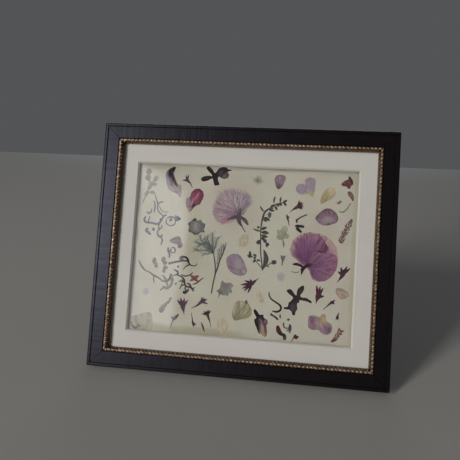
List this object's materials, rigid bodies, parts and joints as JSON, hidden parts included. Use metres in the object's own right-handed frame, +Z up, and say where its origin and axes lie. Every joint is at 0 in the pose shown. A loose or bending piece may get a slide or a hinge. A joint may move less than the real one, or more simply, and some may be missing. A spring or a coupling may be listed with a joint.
{
  "type": "pressed flower frame",
  "caption": "Dark wooden frame with a beaded gilt inner edge, a pale window mat and pressed flowers and leaves under glass, leaning back on a folding easel strut.",
  "frame": {"origin": "on the supporting surface, under the middle of the whole object's bounding box: the bottom rail's rear lower edge and the strut's foot both stand at z = 0", "axes": "+X to the viewer's right along the frame's width, +Y away from the viewer towards the strut's foot, +Z up; the frame leans back 15 degrees about X"},
  "size_m": [0.286, 0.1062, 0.2353],
  "materials": {
    "dark_stained_wood": "smooth dark brown stain, almost black, with a soft sheen",
    "gilt": "antiqued gilding on moulded beads, brown in the hollows and worn pale on the tops",
    "mat_board": "warm light grey paper face with a cream bevelled core",
    "clear_glass": "clear, flat, glossy",
    "cream_paper": "aged cream, matte",
    "fibreboard": "brown pressed fibreboard, matte",
    "hinge_steel": "dull plated steel",
    "brass": "dull pressed brass",
    "lilac_petal": "thin dried petal, translucent lilac, matte",
    "magenta_petal": "thin dried petal, purple to magenta with darker veins, matte",
    "dark_petal": "dried petal darkened almost to black, matte",
    "cream_petal": "thin dried cream petal, matte",
    "olive_petal": "dried petal browned to olive, matte",
    "red_brown_petal": "dried petal browned to dark red, matte",
    "dried_leaf": "dried leaf and stem, dark grey green, matte",
    "grey_leaf": "faded grey green dried leaf, matte"
  },
  "bodies": {
    "frame": {"rail_top": "dark_stained_wood", "rail_bottom": "dark_stained_wood", "rail_left": "dark_stained_wood", "rail_right": "dark_stained_wood", "bead_strip_top": "gilt", "bead_strip_bottom": "gilt", "bead_strip_left": "gilt", "bead_strip_right": "gilt", "window_mat": "mat_board", "glass_sheet": "clear_glass", "specimen_sheet": "cream_paper", "back_board": "fibreboard", "hinge_bracket": "hinge_steel", "hinge_pin": "hinge_steel", "screw_lower_left": "hinge_steel", "screw_lower_right": "hinge_steel", "screw_upper_left": "hinge_steel", "screw_upper_right": "hinge_steel", "folded_petal": "lilac_petal", "crimson_petal": "magenta_petal", "lilac_flower_petals": "lilac_petal", "round_purple_petal": "magenta_petal", "lilac_viola_petals": "lilac_petal", "cream_teardrop_petal": "cream_petal", "dark_purple_fan_petal": "magenta_petal", "magenta_flower_petals": "magenta_petal", "purple_oval_petal": "lilac_petal", "olive_shell_petal": "olive_petal", "beige_petal": "cream_petal", "purple_viola_petals": "magenta_petal", "translucent_petal": "olive_petal", "grey_purple_rosette": "grey_leaf", "pale_clover_leaf": "grey_leaf", "grey_clover_leaf": "grey_leaf", "red_brown_spike": "red_brown_petal", "small_red_spike": "red_brown_petal", "pink_spike": "lilac_petal", "red_bud": "red_brown_petal", "dark_spurred_flower": "dark_petal", "dark_orchid_flower": "dark_petal", "dark_folded_petal": "dark_petal", "red_brown_flower": "red_brown_petal", "lower_left_floret": "magenta_petal", "centre_floret": "magenta_petal", "tall_floret": "magenta_petal", "right_floret": "magenta_petal", "lilac_flower_calyx": "dark_petal", "magenta_flower_calyx": "dark_petal", "central_sprig": "dried_leaf", "fennel_sprig": "dried_leaf", "lichen_twig": "dried_leaf", "dark_curved_twig": "dried_leaf", "grey_leafy_sprig": "grey_leaf", "dark_curled_stem": "dried_leaf"},
    "strut": {"easel_strut": "fibreboard", "hinge_leaf": "hinge_steel"},
    "turn_button_lower_left": {"turn_button_lower_left": "brass"},
    "turn_button_lower_right": {"turn_button_lower_right": "brass"},
    "turn_button_upper_left": {"turn_button_upper_left": "brass"},
    "turn_button_upper_right": {"turn_button_upper_right": "brass"}
  },
  "joints": [
    {"name": "strut_hinge", "type": "hinge", "parent": "frame", "child": "strut", "pos_m": [0, 0.01108, 0.16132], "axis": [1, 0, 0], "range_deg": [-28, 0]},
    {"name": "swivel_lower_left", "type": "hinge", "parent": "frame", "child": "turn_button_lower_left", "pos_m": [-0.135, -0.02029, 0.0574], "axis": [0, 0.9659, -0.2588], "continuous": true},
    {"name": "swivel_lower_right", "type": "hinge", "parent": "frame", "child": "turn_button_lower_right", "pos_m": [0.135, -0.02029, 0.0574], "axis": [0, 0.9659, -0.2588], "continuous": true},
    {"name": "swivel_upper_left", "type": "hinge", "parent": "frame", "child": "turn_button_upper_left", "pos_m": [-0.135, 0.01077, 0.17331], "axis": [0, 0.9659, -0.2588], "continuous": true},
    {"name": "swivel_upper_right", "type": "hinge", "parent": "frame", "child": "turn_button_upper_right", "pos_m": [0.135, 0.01077, 0.17331], "axis": [0, 0.9659, -0.2588], "continuous": true}
  ]
}
